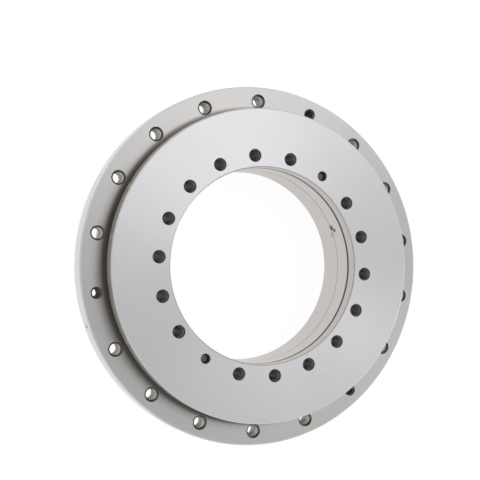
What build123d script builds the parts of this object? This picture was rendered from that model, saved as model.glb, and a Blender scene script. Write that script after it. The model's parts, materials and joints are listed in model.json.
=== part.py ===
from build123d import *
from build123d.topology import SkipClean

import os

# Axial and radial roller bearing, lying on the flange of its L-section ring.
# +Z runs along the bearing's axis, and the origin is the bore's centre on the bottom face.
# All sizes are in millimetres and all angles in degrees.

# Bore and hub
bore_r = 50.0
hole_d = 5.6
counterbore_d = 10.0
counterbore_depth = 5.4
bore_land = 1.0
hub_land = 2.2
bore_line_z = 17.6
bore_line_w = 0.6
bore_line_depth = 0.1

# Heights of the rings
flange_t = 9.0
outer_ring_t = 12.0
washer_t = 9.0
spigot_h = 1.5
spigot_fit = 0.03

# Radial rollers and their cage
radial_roller_count = 48
radial_roller_d = 5.9
radial_roller_l = 9.0
radial_play = 0.05
lip_h = 1.6
lip_side_play = 0.05
relief_w = 0.8
relief_depth = 0.3
pocket_play = 0.1
cage_hub_gap = 0.6
cage_lip_gap = 0.4
cage_end_gap = 0.3

# Axial rollers and their cages
axial_roller_count = 54
axial_roller_d = 3.9
axial_roller_l = 8.0
axial_play = 0.05
axial_roller_inset = 2.5
axial_cage_t = 2.6
axial_cage_guide = 0.15
axial_cage_rim = 1.5
washer_cover = 1.0

# Bolt circle of the outer ring
hole_mouth_d = 7.5
clamped_face_gap = 0.5
outer_hole_land = 1.25
outer_rim_land = 3.75
thread_d = 5.0
thread_mouth_d = 6.1
oil_hole_d = 2.0

# Where the holes stand round the axis
hole_places = 18
inner_turn = 10.0
outer_turn = 3.58
first_screw_place = 2
screw_count = 2
first_thread_place = 3
thread_count = 3
oil_hole_place = 9.5

# Retaining screws M5 x 30 with hexagon socket
screw_length = 30.0
screw_fit = 0.02
head_d = 8.5
head_h = 5.0
socket_across = 4.0
socket_depth = 2.5
screw_tip = 0.8

# Broken edges
bore_edge = 0.6
washer_split_edge = 1.0
front_bore_edge = 0.5
rim_edge = 0.6
outer_rim_edge = 0.7
seat_edge = 0.4
washer_hole_edge = 0.4
washer_thread_edge = 0.1

# Radii, built up from the bore outwards
inner_circle_r = bore_r + bore_land + counterbore_d / 2
hub_r = inner_circle_r + hole_d / 2 + hub_land
race_r = hub_r + radial_roller_d + 2 * radial_play
radial_pitch_r = (hub_r + race_r) / 2
lip_r = race_r - lip_h
axial_roller_r = race_r + axial_roller_inset
axial_pitch_r = axial_roller_r + axial_roller_l / 2
axial_cage_r = axial_roller_r + axial_roller_l + axial_cage_rim
washer_r = axial_cage_r + washer_cover
clamped_face_r = washer_r + clamped_face_gap
outer_circle_r = washer_r + outer_hole_land + hole_mouth_d / 2
outer_r = outer_circle_r + hole_mouth_d / 2 + outer_rim_land

# Heights, built up from the bottom face
axial_space = axial_roller_d + 2 * axial_play
outer_ring_z = flange_t + axial_space
outer_ring_top = outer_ring_z + outer_ring_t
outer_ring_mid = outer_ring_z + outer_ring_t / 2
washer_z = outer_ring_top + axial_space
split_z = washer_z + spigot_h
top_z = washer_z + washer_t

# Angles of the holes
pitch = 360 / hole_places
inner_angles = [inner_turn + pitch * place for place in range(hole_places)]
outer_angles = [outer_turn + pitch * place for place in range(hole_places)]
screw_angles = [
    inner_turn + pitch * first_screw_place + 360 * n / screw_count for n in range(screw_count)
]
thread_angles = [
    outer_turn + pitch * first_thread_place + 360 * n / thread_count for n in range(thread_count)
]
oil_hole_angle = outer_turn + pitch * oil_hole_place


def without(angles, taken):
    """The angles whose place isn't taken by another hole."""
    return [angle for angle in angles if all(abs(angle - other) > pitch / 2 for other in taken)]


def around(piece, angles):
    """Copies of a piece, each turned about the bearing's axis."""
    return [Rot(0, 0, angle) * piece for angle in angles]


def turned(*corners):
    """A body turned about Z from its section, with a corner as (radius, height, chamfer)."""
    points = []
    for before, corner, after in zip(corners[-1:] + corners[:-1], corners, corners[1:] + corners[:1]):
        here = Vector(corner[0], 0, corner[1])
        if corner[2] == 0:
            points.append(here)
            continue
        for other in (before, after):
            along = (Vector(other[0], 0, other[1]) - here).normalized()
            points.append(here + along * corner[2])
    return revolve(make_face(Polyline(*points, close=True)), Axis.Z)


def hole(diameter, low, high, low_mouth=0.0, high_mouth=0.0):
    """What a drill takes out between two heights, with a chamfer up to each wider mouth."""
    radius = diameter / 2
    low_mouth = max(low_mouth / 2, radius)
    high_mouth = max(high_mouth / 2, radius)
    corners = [
        (0, low, 0),
        (low_mouth, low, 0),
        (radius, low + low_mouth - radius, 0),
        (radius, high - high_mouth + radius, 0),
        (high_mouth, high, 0),
        (0, high, 0),
    ]
    return turned(*[c for n, c in enumerate(corners) if n == 0 or c != corners[n - 1]])


def make_l_section_ring():
    """Hub and flange in one piece, relieved at the hub's foot and counterbored from below."""
    ring = turned(
        (bore_r, 0, bore_edge),
        (washer_r, 0, rim_edge),
        (washer_r, flange_t, rim_edge),
        (hub_r - relief_depth, flange_t, 0),
        (hub_r - relief_depth, flange_t + relief_w, 0),
        (hub_r, flange_t + relief_w, 0),
        (hub_r, split_z, seat_edge),
        (bore_r, split_z, bore_edge),
    )
    line = turned(
        (bore_r - bore_line_depth, bore_line_z, 0),
        (bore_r + bore_line_depth, bore_line_z, 0),
        (bore_r + bore_line_depth, bore_line_z + bore_line_w, 0),
        (bore_r - bore_line_depth, bore_line_z + bore_line_w, 0),
    )
    drill = hole(hole_d, counterbore_depth, split_z) + hole(counterbore_d, 0, counterbore_depth)
    return ring - [line, *around(Pos(inner_circle_r, 0, 0) * drill, inner_angles)]


def make_shaft_washer():
    """Disc on the hub, with a shallow recess behind it that the hub's end centres."""
    disc = turned(
        (bore_r, split_z, washer_split_edge),
        (hub_r + spigot_fit, split_z, 0),
        (hub_r + spigot_fit, washer_z, seat_edge),
        (washer_r, washer_z, rim_edge),
        (washer_r, top_z, rim_edge),
        (bore_r, top_z, front_bore_edge),
    )
    drill = hole(hole_d, split_z, top_z, high_mouth=hole_d + 2 * washer_hole_edge)
    tapped_d = thread_d + 2 * screw_fit
    tap = hole(tapped_d, split_z, top_z, high_mouth=tapped_d + 2 * washer_thread_edge)
    fixing = around(Pos(inner_circle_r, 0, 0) * drill, without(inner_angles, screw_angles))
    return disc - [*fixing, *around(Pos(inner_circle_r, 0, 0) * tap, screw_angles)]


def make_outer_ring():
    """Flanged ring with a lipped track inside, a ground track on each face and the bolt circle."""
    low_lip_z = outer_ring_mid - radial_roller_l / 2 - lip_side_play
    high_lip_z = outer_ring_mid + radial_roller_l / 2 + lip_side_play
    tracks = turned(
        (lip_r, outer_ring_z, seat_edge),
        (clamped_face_r, outer_ring_z, 0),
        (clamped_face_r, outer_ring_top, 0),
        (lip_r, outer_ring_top, seat_edge),
        (lip_r, high_lip_z, 0),
        (race_r + relief_depth, high_lip_z, 0),
        (race_r + relief_depth, high_lip_z - relief_w, 0),
        (race_r, high_lip_z - relief_w, 0),
        (race_r, low_lip_z + relief_w, 0),
        (race_r + relief_depth, low_lip_z + relief_w, 0),
        (race_r + relief_depth, low_lip_z, 0),
        (lip_r, low_lip_z, 0),
    )
    flange = turned(
        (clamped_face_r, outer_ring_z, 0),
        (outer_r, outer_ring_z, outer_rim_edge),
        (outer_r, outer_ring_top, outer_rim_edge),
        (clamped_face_r, outer_ring_top, 0),
    )
    drill = hole(hole_d, outer_ring_z, outer_ring_top, hole_mouth_d, hole_mouth_d)
    tap = hole(thread_d, outer_ring_z, outer_ring_top, thread_mouth_d, thread_mouth_d)
    fixing = around(Pos(outer_circle_r, 0, 0) * drill, without(outer_angles, thread_angles))
    threads = around(Pos(outer_circle_r, 0, 0) * tap, thread_angles)
    channel = Pos(outer_r, 0, outer_ring_mid) * Rot(0, -90, 0) * Cylinder(
        oil_hole_d / 2, outer_r - lip_r, align=(Align.CENTER, Align.CENTER, Align.MIN)
    )
    # The part of each face that is clamped to the housing stays a face of its own, apart from the track.
    with SkipClean():
        ring = tracks + flange
        return ring - [*fixing, *threads, *around(channel, [oil_hole_angle])]


def spread(count):
    """Evenly spaced angles, one for each roller of a set."""
    return [360 * n / count for n in range(count)]


def make_axial_cage(middle_z):
    """Flat cage guided by the hub, with a window for each roller."""
    ring = turned(
        (hub_r + axial_cage_guide, middle_z - axial_cage_t / 2, 0),
        (axial_cage_r, middle_z - axial_cage_t / 2, 0),
        (axial_cage_r, middle_z + axial_cage_t / 2, 0),
        (hub_r + axial_cage_guide, middle_z + axial_cage_t / 2, 0),
    )
    window = Box(
        axial_roller_l + 2 * pocket_play, axial_roller_d + 2 * pocket_play, 2 * axial_cage_t
    )
    return ring - around(Pos(axial_pitch_r, 0, middle_z) * window, spread(axial_roller_count))


def make_axial_rollers(middle_z):
    """The rollers of one flat set, each lying along a radius."""
    roller = Rot(0, 90, 0) * Cylinder(axial_roller_d / 2, axial_roller_l)
    return around(Pos(axial_pitch_r, 0, middle_z) * roller, spread(axial_roller_count))


def make_radial_cage():
    """Upright cage between the hub and the lips, with a window for each roller."""
    inner_r = hub_r + cage_hub_gap
    cage_r = lip_r - cage_lip_gap
    low = outer_ring_z + cage_end_gap
    high = outer_ring_top - cage_end_gap
    tube = turned((inner_r, low, 0), (cage_r, low, 0), (cage_r, high, 0), (inner_r, high, 0))
    window = Box(
        2 * (race_r - hub_r), radial_roller_d + 2 * pocket_play, radial_roller_l + 2 * pocket_play
    )
    places = spread(radial_roller_count)
    return tube - around(Pos(radial_pitch_r, 0, outer_ring_mid) * window, places)


def make_radial_rollers():
    """The upright rollers, one solid for each window of the radial cage."""
    roller = Cylinder(radial_roller_d / 2, radial_roller_l)
    return around(Pos(radial_pitch_r, 0, outer_ring_mid) * roller, spread(radial_roller_count))


def make_retaining_screws():
    """Socket screws that sit in the counterbores and reach into the washer's threads."""
    seat_z = counterbore_depth
    shank_r = thread_d / 2
    body = turned(
        (0, seat_z - head_h, 0),
        (head_d / 2, seat_z - head_h, seat_edge),
        (head_d / 2, seat_z, 0),
        (shank_r, seat_z, 0),
        (shank_r, seat_z + screw_length, screw_tip),
        (0, seat_z + screw_length, 0),
    )
    hexagon = RegularPolygon(socket_across / 2, 6, major_radius=False)
    socket = Pos(0, 0, seat_z - head_h) * extrude(hexagon, socket_depth)
    return around(Pos(inner_circle_r, 0, 0) * (body - socket), screw_angles)


lower_set_z = (flange_t + outer_ring_z) / 2
upper_set_z = (outer_ring_top + washer_z) / 2

parts = {
    "l_section_ring": [make_l_section_ring()],
    "shaft_washer": [make_shaft_washer()],
    "outer_ring": [make_outer_ring()],
    "retaining_screws": make_retaining_screws(),
    "axial_cage_lower": [make_axial_cage(lower_set_z)],
    "axial_rollers_lower": make_axial_rollers(lower_set_z),
    "axial_cage_upper": [make_axial_cage(upper_set_z)],
    "axial_rollers_upper": make_axial_rollers(upper_set_z),
    "radial_cage": [make_radial_cage()],
}
for number, roller in enumerate(make_radial_rollers(), start=1):
    parts[f"radial_roller_{number:02d}"] = [roller]

os.makedirs("parts", exist_ok=True)
for name, pieces in parts.items():
    solids = [solid for piece in pieces for solid in piece.solids()]
    export_step(Compound(children=solids), f"parts/{name}.step")
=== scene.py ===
"""An axial and radial roller bearing in ground steel, seen from above on a pale floor."""

import json
import math

import bmesh
import bpy
from mathutils import Matrix, Vector


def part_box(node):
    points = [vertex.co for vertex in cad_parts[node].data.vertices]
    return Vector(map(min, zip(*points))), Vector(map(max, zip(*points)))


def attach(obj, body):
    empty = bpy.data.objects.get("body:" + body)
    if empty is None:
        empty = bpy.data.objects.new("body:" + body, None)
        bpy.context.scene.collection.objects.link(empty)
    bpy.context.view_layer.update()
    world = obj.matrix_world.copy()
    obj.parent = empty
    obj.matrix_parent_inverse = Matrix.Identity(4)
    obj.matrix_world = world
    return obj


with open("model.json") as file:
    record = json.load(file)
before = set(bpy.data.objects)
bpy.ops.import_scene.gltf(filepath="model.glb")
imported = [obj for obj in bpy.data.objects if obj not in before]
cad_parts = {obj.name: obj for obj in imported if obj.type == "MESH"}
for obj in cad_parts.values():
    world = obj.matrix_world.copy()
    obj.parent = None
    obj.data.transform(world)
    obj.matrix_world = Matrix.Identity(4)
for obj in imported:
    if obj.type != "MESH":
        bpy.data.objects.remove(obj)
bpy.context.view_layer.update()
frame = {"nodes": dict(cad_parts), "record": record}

MM = 0.001

# Sizes and places that the frame gives, in metres
mounts = {mount["name"]: mount["dims"] for mount in frame["record"]["mounts"]}
bore_r = mounts["bore"]["r_mm"] * MM
inner_circle_r = mounts["inner_hole_circle"]["pcd_mm"] / 2 * MM
outer_circle_r = mounts["outer_hole_circle"]["pcd_mm"] / 2 * MM
thread_r = mounts["extraction_threads"]["hole_r_mm"] * MM
split_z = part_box("l_section_ring")[1][2]
top_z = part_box("shaft_washer")[1][2]
disc_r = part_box("shaft_washer")[1][0]
outer_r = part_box("outer_ring")[1][0]
ring_low_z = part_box("outer_ring")[0][2]
ring_top_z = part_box("outer_ring")[1][2]
screw_tip_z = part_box("retaining_screws")[1][2]

# Places of the holes round the axis, in degrees
HOLE_PLACES = 18
INNER_TURN = 10.0
OUTER_TURN = 3.58
THREAD_ANGLES = [63.58, 183.58, 303.58]
SCREW_ANGLES = [50.0, 230.0]

# Holes, from the axis out to where their machined edges end
WASHER_MOUTH_R = 3.2 * MM
RING_MOUTH_R = 3.75 * MM
COUNTERBORE_R = 5.0 * MM
COUNTERBORE_DEPTH = 5.4 * MM

# Dark rings that widen the mouths of the washer's fixing holes to the eye. The last value is the distance
# from a thread's axis within which there is none
HOLE_RING = 0.13 * MM
HOLE_RING_FADE = 0.03 * MM
THREAD_CLEAR = 4.0 * MM

# The outer ring's holes are painted brighter, a painted highlight, down to the first of these depths, and no
# longer so at the second
LIT_MOUTH_FULL = 3.5 * MM
LIT_MOUTH_END = 6.0 * MM

# The outer ring's outer edge chamfers, which are painted brighter together with its outer wall, as a painted
# reflection
OUTER_EDGE = 0.7 * MM

# The dark band on each side of the split, as wide as the bore's widest chamfer
BORE_EDGE = 1.0 * MM

# Painted shade and a painted reflection of the disc's rim in the corner beside the disc: how far out it is
# whole, and where it ends
CORNER_SHADE_FULL = 0.9 * MM
CORNER_SHADE_END = 2.6 * MM

# Flat facets cut inside a circle, so a finish reaches a little past the edge of its surface, on the rings'
# walls, at the holes and below the faces, before it fades out
WALL_SLACK = 0.05 * MM
HOLE_SLACK = 0.03 * MM
FACE_SLACK = 0.1 * MM
FADE = 0.05 * MM

# Slopes for share on how far a surface faces up or down: 1 on a flat face, 0.7 on a chamfer and 0 on a wall
NOT_FLAT = (0.95, 0.9)
NOT_WALL = (0.3, 0.4)
ONLY_WALL = (0.4, 0.3)

# Distance between grinding lines. Real ones are too fine to show, so these are drawn coarser
WASHER_LINES = 0.35 * MM
FLANGE_LINES = 0.45 * MM

# How many times in a radian the marks change along a line
LINE_BREAKS = 4.0

# Size of the lighter and darker patches of the two steels
WASHER_PATCH = 28 * MM
FLANGE_PATCH = 22 * MM

# The range in which most of a noise lies, and the part of the grinding marks that shows as lighter lines
NOISE_RANGE = (0.3, 0.7)
LIGHT_LINES = (0.45, 0.75)

# Roughness of ground steel, on its smoother and its rougher lines, and inside the drilled holes
SMOOTH_LINE = 0.33
ROUGH_LINE = 0.36
DRILLED = 0.5

# M5 thread: its pitch and depth, how deep its ridges are rooted in the hole's wall, half their width there
# and at the crest, and the steps in one turn
THREAD_PITCH = 0.8 * MM
THREAD_DEPTH = 0.4 * MM
THREAD_ROOT = 0.05 * MM
ROOT_HALF = 0.45 * THREAD_PITCH
CREST_HALF = 0.12 * THREAD_PITCH
THREAD_STEPS = 28

# How far the ridges stay from the outer ring's two faces, the washer's face and the retaining screws' tips
RING_FACE_GAP = 0.9 * MM
WASHER_FACE_GAP = 0.7 * MM
SCREW_TIP_GAP = 0.5 * MM

# Stains in the bore: angle in degrees, height, size and colour, how much higher than wide they are, and how
# many rags their outlines have in a millimetre
STAINS = [
    (13.9, 17.0 * MM, 1.9 * MM, "#bcbab0"),
    (18.6, 19.4 * MM, 1.9 * MM, "#a59f8d"),
    (18.0, 18.8 * MM, 1.25 * MM, "#2c2a18"),
    (16.5, 21.1 * MM, 1.25 * MM, "#454943"),
]
STAIN_DRAW = 1.7
STAIN_RAGS = 0.9

# The camera: its place in metres, which way its right and its view point, and its lens for a 36 mm sensor
CAMERA_PLACE = (-0.21923, 0.02228, 0.59129)
CAMERA_RIGHT = (0.93248, -0.08898, 0.35011)
CAMERA_AHEAD = (0.35031, -0.01379, -0.93653)
CAMERA_LENS = 88.22

# The floor reaches this far from the axis, in metres, and lies a hair under the bearing
FLOOR_REACH = 3.0
FLOOR_GAP = 0.02 * MM

# The studio room: how bright its walls are, up to a first height, and its ceiling, above a second. A height
# is the sine of the angle above the horizon
WALL_LIGHT = 1.05
WALL_END = 0.3
CEILING_LIGHT = 0.36
CEILING_START = 0.7

# Soft lights: azimuth, elevation and radius in degrees, and strength in the middle
SOFT_LIGHTS = [(22.6, 67.8, 17.4, 2.4), (335.8, 20.0, 18.5, 4.0)]


def linear(hex_colour):
    """An sRGB hex colour as the linear values that the nodes take."""
    shares = [int(hex_colour[i:i + 2], 16) / 255 for i in (1, 3, 5)]
    return tuple(s / 12.92 if s <= 0.04045 else ((s + 0.055) / 1.055) ** 2.4 for s in shares) + (1.0,)


def add(tree, kind, inputs=None, **settings):
    """Adds a node. Each input, by name or number, is a plain value, a node or one output of a node."""
    node = tree.nodes.new(kind)
    for name, value in settings.items():
        setattr(node, name, value)
    for key, value in (inputs or {}).items():
        shown = [socket for socket in node.inputs if socket.enabled]
        socket = shown[key] if isinstance(key, int) else next(s for s in shown if s.name == key)
        if isinstance(value, bpy.types.Node):
            value = next(output for output in value.outputs if output.enabled)
        if isinstance(value, bpy.types.NodeSocket):
            tree.links.new(value, socket)
        else:
            socket.default_value = value
    return node


def new_material(name):
    """An empty node material, with its tree."""
    material = bpy.data.materials.new(name)
    material.use_nodes = True
    material.node_tree.nodes.clear()
    return material, material.node_tree


def up_to(value, end, slack):
    """A slope for share: whole up to its end and the slack past it, and then fading out."""
    return value, end + slack + FADE, end + slack


def from_on(value, start, slack):
    """A slope for share: whole from the slack before its start on, with the fade before that."""
    return value, start - slack - FADE, start - slack


def share(tree, *slopes):
    """How much of a finish shows: the product of slopes, each 0 at its first limit and 1 at its second."""
    whole = 1.0
    for value, start, end in slopes:
        slope = add(tree, "ShaderNodeMapRange", {"Value": value, "From Min": start, "From Max": end})
        whole = add(tree, "ShaderNodeMath", {0: slope, 1: whole}, operation="MULTIPLY")
    return whole


def coated(tree, colour, *coats):
    """The colour that is left when each coat, by its share and its colour, lies over the one before."""
    for part, coat in coats:
        colour = add(tree, "ShaderNodeMix", {"Factor": part, "A": colour, "B": coat}, data_type="RGBA")
    return colour


class Place:
    """Where a point lies on a ring, as nodes: its height, its distance from the axis and its angle."""

    def __init__(self, tree):
        self.here = add(tree, "ShaderNodeTexCoord").outputs["Object"]
        split = add(tree, "ShaderNodeSeparateXYZ", {0: self.here})
        flat = add(tree, "ShaderNodeVectorMath", {0: self.here, 1: (1.0, 1.0, 0.0)}, operation="MULTIPLY")
        self.height = split.outputs["Z"]
        self.radius = add(tree, "ShaderNodeVectorMath", {0: flat}, operation="LENGTH").outputs["Value"]
        self.outward = add(tree, "ShaderNodeVectorMath", {0: flat}, operation="NORMALIZE")
        self.angle = add(
            tree,
            "ShaderNodeMath",
            {0: split.outputs["Y"], 1: split.outputs["X"]},
            operation="ARCTAN2",
        )
        normal = add(tree, "ShaderNodeTexCoord").outputs["Normal"]
        along = add(tree, "ShaderNodeSeparateXYZ", {0: normal}).outputs["Z"]
        # 1 on the flat faces, 0.7 on the chamfers and 0 on the turned walls
        self.facing = add(tree, "ShaderNodeMath", {0: along}, operation="ABSOLUTE")


def hole_distance(tree, place, circle_r, turn):
    """Distance from a point to the axis of the nearest hole of a bolt circle."""
    pitch = 2 * math.pi / HOLE_PLACES
    places = add(
        tree,
        "ShaderNodeMath",
        {0: place.angle, 1: 1 / pitch, 2: 0.5 - math.radians(turn) / pitch},
        operation="MULTIPLY_ADD",
    )
    part = add(tree, "ShaderNodeMath", {0: places, 1: 1.0}, operation="FLOORED_MODULO")
    swing = add(tree, "ShaderNodeMath", {0: part, 1: pitch, 2: -pitch / 2}, operation="MULTIPLY_ADD")
    cosine = add(tree, "ShaderNodeMath", {0: swing}, operation="COSINE")
    sine = add(tree, "ShaderNodeMath", {0: swing}, operation="SINE")
    out = add(tree, "ShaderNodeMath", {0: place.radius, 1: cosine, 2: -circle_r}, operation="MULTIPLY_ADD")
    aside = add(tree, "ShaderNodeMath", {0: place.radius, 1: sine}, operation="MULTIPLY")
    local = add(tree, "ShaderNodeCombineXYZ", {0: out, 1: aside})
    return add(tree, "ShaderNodeVectorMath", {0: local}, operation="LENGTH").outputs["Value"]


def grinding_marks(tree, place, line_gap):
    """Fine lines that run round the ring, one line gap apart and broken up along their way."""
    across = add(tree, "ShaderNodeMath", {0: place.radius, 1: place.height}, operation="ADD")
    line = add(tree, "ShaderNodeMath", {0: across, 1: 1 / line_gap}, operation="MULTIPLY")
    around = add(tree, "ShaderNodeVectorMath", {0: place.outward, "Scale": LINE_BREAKS}, operation="SCALE")
    lifted = add(tree, "ShaderNodeCombineXYZ", {2: line})
    at = add(tree, "ShaderNodeVectorMath", {0: around, 1: lifted}, operation="ADD")
    return add(tree, "ShaderNodeTexNoise", {"Vector": at, "Scale": 1.0, "Detail": 3.0, "Roughness": 0.6})


def on_circle(radius, angle, height):
    """A point by its distance from the axis, its angle in degrees and its height."""
    return Vector((radius * math.cos(math.radians(angle)), radius * math.sin(math.radians(angle)), height))


def distance_to(tree, place, point, draw=1.0):
    """Distance from a point of the surface to a fixed point, with heights counted draw times shorter."""
    offset = add(tree, "ShaderNodeVectorMath", {0: place.here, 1: point}, operation="SUBTRACT")
    drawn = add(tree, "ShaderNodeVectorMath", {0: offset, 1: (1.0, 1.0, 1 / draw)}, operation="MULTIPLY")
    return add(tree, "ShaderNodeVectorMath", {0: drawn}, operation="LENGTH").outputs["Value"]


def stain(tree, place, angle, height, size):
    """A small ragged blot on the bore's wall, drawn out along the bore."""
    away = distance_to(tree, place, on_circle(bore_r, angle, height), STAIN_DRAW)
    ragged = add(tree, "ShaderNodeTexNoise", {"Vector": place.here, "Scale": STAIN_RAGS / MM, "Detail": 2.0})
    reach = add(tree, "ShaderNodeMath", {0: ragged, 1: size, 2: away}, operation="MULTIPLY_ADD")
    return share(tree, (reach, 1.5 * size, size))


def ground_steel_shader(tree, place, marks, colour, in_hole):
    """Ground metal: rough across the grinding lines and smooth along them, so that light fans out round the
    axis. The drilled holes are rougher."""
    ground = share(tree, (marks, *NOISE_RANGE))
    rough = add(tree, "ShaderNodeMapRange", {"Value": ground, "To Min": SMOOTH_LINE, "To Max": ROUGH_LINE})
    roughness = add(tree, "ShaderNodeMix", {"Factor": in_hole, "A": rough, "B": DRILLED}, data_type="FLOAT")
    bump = add(tree, "ShaderNodeBump", {"Strength": 0.12, "Distance": 0.01 * MM, "Height": marks})
    tangent = add(tree, "ShaderNodeTangent", direction_type="RADIAL", axis="Z")
    shader = add(
        tree,
        "ShaderNodeBsdfPrincipled",
        {
            "Base Color": colour,
            "Metallic": 1.0,
            "Roughness": roughness,
            "Anisotropic": 0.72,
            "Anisotropic Rotation": 0.25,
            "Normal": bump,
            "Tangent": tangent,
        },
    )
    add(tree, "ShaderNodeOutputMaterial", {"Surface": shader})


def ground_bearing_steel():
    """Through-hardened bearing steel, ground on its faces: a light satin grey with a fan of lighter and
    darker sectors. The bore and the disc's rim are a little warmer, and the bore is a little duller above
    the split. Its turned edges are duller still, and dark at the split. The drilled holes are darker than
    the faces, with dark chamfers and, round all but the threads, a thin dark ring."""
    material, tree = new_material("ground_bearing_steel")
    place = Place(tree)
    marks = grinding_marks(tree, place, WASHER_LINES)
    clouds = add(
        tree,
        "ShaderNodeTexNoise",
        {"Vector": place.here, "Scale": 1 / WASHER_PATCH, "Detail": 2.0},
    )
    distance = hole_distance(tree, place, inner_circle_r, INNER_TURN)
    hole_reach = add(
        tree,
        "ShaderNodeMapRange",
        {
            "Value": place.height,
            "From Min": COUNTERBORE_DEPTH,
            "From Max": COUNTERBORE_DEPTH + FADE,
            "To Min": COUNTERBORE_R,
            "To Max": WASHER_MOUTH_R,
        },
    )
    depth = add(tree, "ShaderNodeMath", {0: hole_reach, 1: distance}, operation="SUBTRACT")
    in_hole = share(tree, from_on(depth, 0.0, HOLE_SLACK), (place.facing, *NOT_FLAT))
    hole_edges = share(tree, (in_hole, 0.0, 1.0), (place.facing, *NOT_WALL))
    screw_axes = [on_circle(inner_circle_r, angle, top_z) for angle in SCREW_ANGLES]
    hole_rings = share(
        tree,
        (depth, -HOLE_RING - HOLE_RING_FADE, -HOLE_RING),
        from_on(place.height, top_z, FACE_SLACK),
        *[(distance_to(tree, place, axis), THREAD_CLEAR, THREAD_CLEAR + FADE) for axis in screw_axes],
    )

    bore = share(tree, up_to(place.radius, bore_r + BORE_EDGE, WALL_SLACK), (place.facing, *NOT_FLAT))
    washer_bore = share(tree, (bore, 0.0, 1.0), (place.height, split_z, split_z + FADE))
    bore_edges = share(tree, (bore, 0.0, 1.0), (place.facing, *NOT_WALL))
    at_split = add(tree, "ShaderNodeMath", {0: place.height, 1: split_z, 2: BORE_EDGE}, operation="COMPARE")
    split = add(tree, "ShaderNodeMath", {0: bore, 1: at_split}, operation="MULTIPLY")
    rim = share(tree, from_on(place.radius, disc_r, WALL_SLACK), (place.facing, *ONLY_WALL))
    stains = [(stain(tree, place, *spot), linear(tint)) for *spot, tint in STAINS]

    colour = coated(
        tree,
        linear("#c4c4c6"),
        (clouds, linear("#cbcbcd")),
        (share(tree, (marks, *LIGHT_LINES)), linear("#cdcdcf")),
        (bore, linear("#d0cbc8")),
        (washer_bore, linear("#c5c0bd")),
        (bore_edges, linear("#b8b4b0")),
        (split, linear("#625f5b")),
        *stains,
        (rim, linear("#c6c2bb")),
        (in_hole, linear("#cac7c3")),
        (hole_edges, linear("#4a4845")),
        (hole_rings, linear("#4a4845")),
    )
    ground_steel_shader(tree, place, marks, colour, in_hole)
    return material


def ground_flange_steel():
    """The outer ring's steel, a shade darker than the washer's where the grinding is coarser. Its outer wall
    and its turned outer edges are painted brighter, as a painted reflection. Its fixing holes are grey
    inside, with a painted highlight near their mouths, and dark chamfers. Painted shade and a painted
    reflection of the disc's rim darken the corner beside the disc."""
    material, tree = new_material("ground_flange_steel")
    place = Place(tree)
    marks = grinding_marks(tree, place, FLANGE_LINES)
    clouds = add(
        tree,
        "ShaderNodeTexNoise",
        {"Vector": place.here, "Scale": 1 / FLANGE_PATCH, "Detail": 2.0},
    )
    distance = hole_distance(tree, place, outer_circle_r, OUTER_TURN)
    in_hole = share(tree, up_to(distance, RING_MOUTH_R, HOLE_SLACK), (place.facing, *NOT_FLAT))
    chamfer = share(tree, (place.facing, *NOT_WALL))
    # Painted highlight: the outer ring's holes are painted brighter near their mouths
    painted_lit_mouth = share(tree, (place.height, ring_top_z - LIT_MOUTH_END, ring_top_z - LIT_MOUTH_FULL))
    # Painted shade and a painted reflection of the disc's rim, darkening the corner beside the disc
    painted_corner_shade = share(
        tree,
        (place.radius, disc_r + CORNER_SHADE_END, disc_r + CORNER_SHADE_FULL),
        from_on(place.height, ring_top_z, FACE_SLACK),
    )
    # Painted reflection: the outer wall and its edge chamfers are painted brighter
    edges = share(tree, from_on(place.radius, outer_r - OUTER_EDGE, WALL_SLACK), (place.facing, *NOT_FLAT))
    painted_bright_wall = share(tree, (edges, 0.0, 1.0), (place.facing, *ONLY_WALL))

    hole = coated(
        tree,
        linear("#b8b6b2"),
        # A painted highlight near the mouths of the holes
        (painted_lit_mouth, linear("#f9f7f4")),
        (chamfer, linear("#6a6865")),
    )
    colour = coated(
        tree,
        linear("#b8b6b6"),
        (clouds, linear("#bfbdbc")),
        (share(tree, (marks, *LIGHT_LINES)), linear("#c2c0bf")),
        # Painted reflection on the outer wall and its edges
        (edges, linear("#cdcdcc")),
        (painted_bright_wall, linear("#dcdcda")),
        # Painted shade and reflection in the corner beside the disc
        (painted_corner_shade, linear("#7f7c75")),
        (in_hole, hole),
    )
    ground_steel_shader(tree, place, marks, colour, in_hole)
    return material


def plain_metal(name, hex_colours, rough, grain):
    """A metal whose colour and roughness drift between two values each, over lengths of one grain."""
    material, tree = new_material(name)
    here = add(tree, "ShaderNodeTexCoord").outputs["Object"]
    drift = add(tree, "ShaderNodeTexNoise", {"Vector": here, "Scale": 1 / grain, "Detail": 3.0})
    colour = coated(tree, linear(hex_colours[0]), (drift, linear(hex_colours[1])))
    drifted = share(tree, (drift, *NOISE_RANGE))
    roughness = add(tree, "ShaderNodeMapRange", {"Value": drifted, "To Min": rough[0], "To Max": rough[1]})
    bump = add(tree, "ShaderNodeBump", {"Strength": 0.1, "Distance": 0.02 * MM, "Height": drift})
    shader = add(
        tree,
        "ShaderNodeBsdfPrincipled",
        {"Base Color": colour, "Metallic": 1.0, "Roughness": roughness, "Normal": bump},
    )
    add(tree, "ShaderNodeOutputMaterial", {"Surface": shader})
    return material


def new_piece(name, build, material):
    """An object made from a bmesh, with its finish."""
    mesh = bpy.data.meshes.new(name)
    build.to_mesh(mesh)
    build.free()
    mesh.materials.append(material)
    piece = bpy.data.objects.new(name, mesh)
    bpy.context.scene.collection.objects.link(piece)
    return piece


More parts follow.
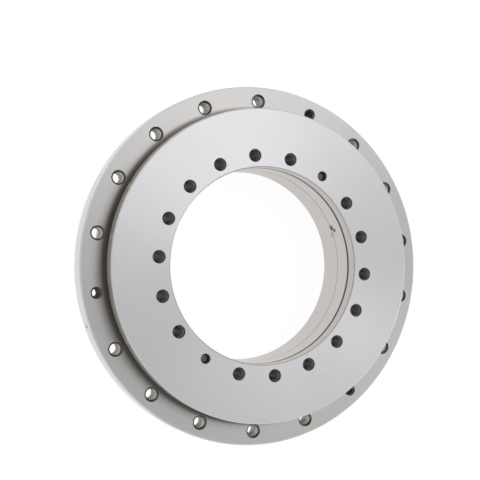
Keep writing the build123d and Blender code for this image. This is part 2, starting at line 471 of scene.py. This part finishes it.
def make_thread_ridges(name, angles, circle_r, low, high, material, body):
    """The ridges of inside threads, as one helix in each hole, rooted a little into the hole's wall."""
    build = bmesh.new()
    steps = round((high - low) / THREAD_PITCH * THREAD_STEPS)
    section = [
        (thread_r + THREAD_ROOT, -ROOT_HALF),
        (thread_r - THREAD_DEPTH, -CREST_HALF),
        (thread_r - THREAD_DEPTH, CREST_HALF),
        (thread_r + THREAD_ROOT, ROOT_HALF),
    ]
    for angle in angles:
        middle = on_circle(circle_r, angle, 0)
        before = None
        for step in range(steps + 1):
            swing = 2 * math.pi * step / THREAD_STEPS
            out = Vector((math.cos(swing), math.sin(swing), 0))
            rise = low + THREAD_PITCH * step / THREAD_STEPS
            now = [build.verts.new(middle + out * r + Vector((0, 0, rise + z))) for r, z in section]
            if before is None:
                build.faces.new(now)
            else:
                for n in range(len(section)):
                    build.faces.new((before[n], before[n - 1], now[n - 1], now[n]))
            before = now
        build.faces.new(before[::-1])
    bmesh.ops.recalc_face_normals(build, faces=build.faces)
    ridges = new_piece(name, build, material)
    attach(ridges, body)


def make_camera():
    """The photograph's view, 21 degrees off the bearing's axis, from 0.63 m."""
    data = bpy.data.cameras.new("camera")
    data.sensor_width = 36.0
    data.lens = CAMERA_LENS
    data.clip_start = 0.01
    data.clip_end = 20.0
    camera = bpy.data.objects.new("camera", data)
    right = Vector(CAMERA_RIGHT).normalized()
    ahead = Vector(CAMERA_AHEAD).normalized()
    up = right.cross(ahead)
    turned = Matrix((right, up, -ahead)).transposed().to_4x4()
    camera.matrix_world = Matrix.Translation(CAMERA_PLACE) @ turned
    bpy.context.scene.collection.objects.link(camera)
    bpy.context.scene.camera = camera


def make_floor():
    """A wide pale floor. It shows white, apart from the soft shadow that the bearing leaves on it."""
    build = bmesh.new()
    bmesh.ops.create_grid(build, x_segments=1, y_segments=1, size=FLOOR_REACH)
    material, tree = new_material("pale_floor")
    paths = add(tree, "ShaderNodeLightPath")
    seen = paths.outputs["Is Camera Ray"]
    for kind in ("Is Glossy Ray", "Is Transmission Ray"):
        seen = add(tree, "ShaderNodeMath", {0: seen, 1: paths.outputs[kind]}, operation="MAXIMUM")
    paint = add(tree, "ShaderNodeBsdfDiffuse", {"Color": linear("#e4e4e4")})
    shade = add(tree, "ShaderNodeBsdfDiffuse", {"Color": linear("#8c8c8c")})
    glow = add(tree, "ShaderNodeEmission", {"Color": linear("#ffffff"), "Strength": 0.9})
    white = add(tree, "ShaderNodeAddShader", {0: shade, 1: glow})
    surface = add(tree, "ShaderNodeMixShader", {0: seen, 1: paint, 2: white})
    add(tree, "ShaderNodeOutputMaterial", {"Surface": surface})
    floor = new_piece("floor", build, material)
    floor.location.z = -FLOOR_GAP


def make_world():
    """A studio room: pale walls, a dimmer ceiling and two round soft lights, one above and one low aside."""
    world = bpy.data.worlds.new("studio")
    world.use_nodes = True
    tree = world.node_tree
    tree.nodes.clear()
    look = add(tree, "ShaderNodeTexCoord").outputs["Generated"]
    rise = add(tree, "ShaderNodeSeparateXYZ", {0: look}).outputs["Z"]
    level = add(
        tree,
        "ShaderNodeMapRange",
        {
            "Value": rise,
            "From Min": WALL_END,
            "From Max": CEILING_START,
            "To Min": WALL_LIGHT,
            "To Max": CEILING_LIGHT,
        },
        interpolation_type="SMOOTHSTEP",
    )
    for azimuth, elevation, spread, strength in SOFT_LIGHTS:
        across = math.cos(math.radians(elevation))
        towards = on_circle(across, azimuth, math.sin(math.radians(elevation)))
        near = add(tree, "ShaderNodeVectorMath", {0: look, 1: towards}, operation="DOT_PRODUCT")
        soft_light = add(
            tree,
            "ShaderNodeMapRange",
            {
                "Value": near.outputs["Value"],
                "From Min": math.cos(math.radians(spread)),
                "From Max": 1.0,
                "To Max": strength,
            },
            interpolation_type="SMOOTHSTEP",
        )
        level = add(tree, "ShaderNodeMath", {0: level, 1: soft_light}, operation="ADD")
    light = add(tree, "ShaderNodeBackground", {"Color": linear("#ffffff"), "Strength": level})
    add(tree, "ShaderNodeOutputWorld", {"Surface": light})
    bpy.context.scene.world = world


bpy.context.scene.view_settings.view_transform = "Standard"
make_camera()
make_floor()
make_world()

ring_steel = ground_bearing_steel()
flange_steel = ground_flange_steel()

# Lapped rollers: bright and glossy
roller_steel = plain_metal("lapped_roller_steel", ("#c8c8ca", "#d2d2d4"), rough=(0.12, 0.2), grain=2.0 * MM)

# Solid brass under a film of oil: a dull brownish yellow
cage_brass = plain_metal("oiled_brass", ("#7d6238", "#8f7144"), rough=(0.3, 0.42), grain=3.0 * MM)

# Screws under black oxide: a dull, warm dark grey
screw_steel = plain_metal("black_oxide_steel", ("#68665f", "#76736d"), rough=(0.4, 0.55), grain=0.8 * MM)

# Thread flanks as cut, under oil: dark and dull
thread_steel = plain_metal("cut_thread_steel", ("#45423f", "#57534f"), rough=(0.35, 0.5), grain=0.8 * MM)

finishes = {
    "shaft_washer": ring_steel,
    "l_section_ring": ring_steel,
    "outer_ring": flange_steel,
    "retaining_screws": screw_steel,
    "axial_cage_lower": cage_brass,
    "axial_cage_upper": cage_brass,
    "radial_cage": cage_brass,
}
for name, node in frame["nodes"].items():
    node.data.materials.clear()
    node.data.materials.append(finishes.get(name, roller_steel))

make_thread_ridges(
    "extraction_thread_ridges",
    THREAD_ANGLES,
    outer_circle_r,
    ring_low_z + RING_FACE_GAP,
    ring_top_z - RING_FACE_GAP,
    thread_steel,
    "outer_ring",
)
make_thread_ridges(
    "washer_thread_ridges",
    SCREW_ANGLES,
    inner_circle_r,
    screw_tip_z + SCREW_TIP_GAP,
    top_z - WASHER_FACE_GAP,
    thread_steel,
    "inner_rings",
)
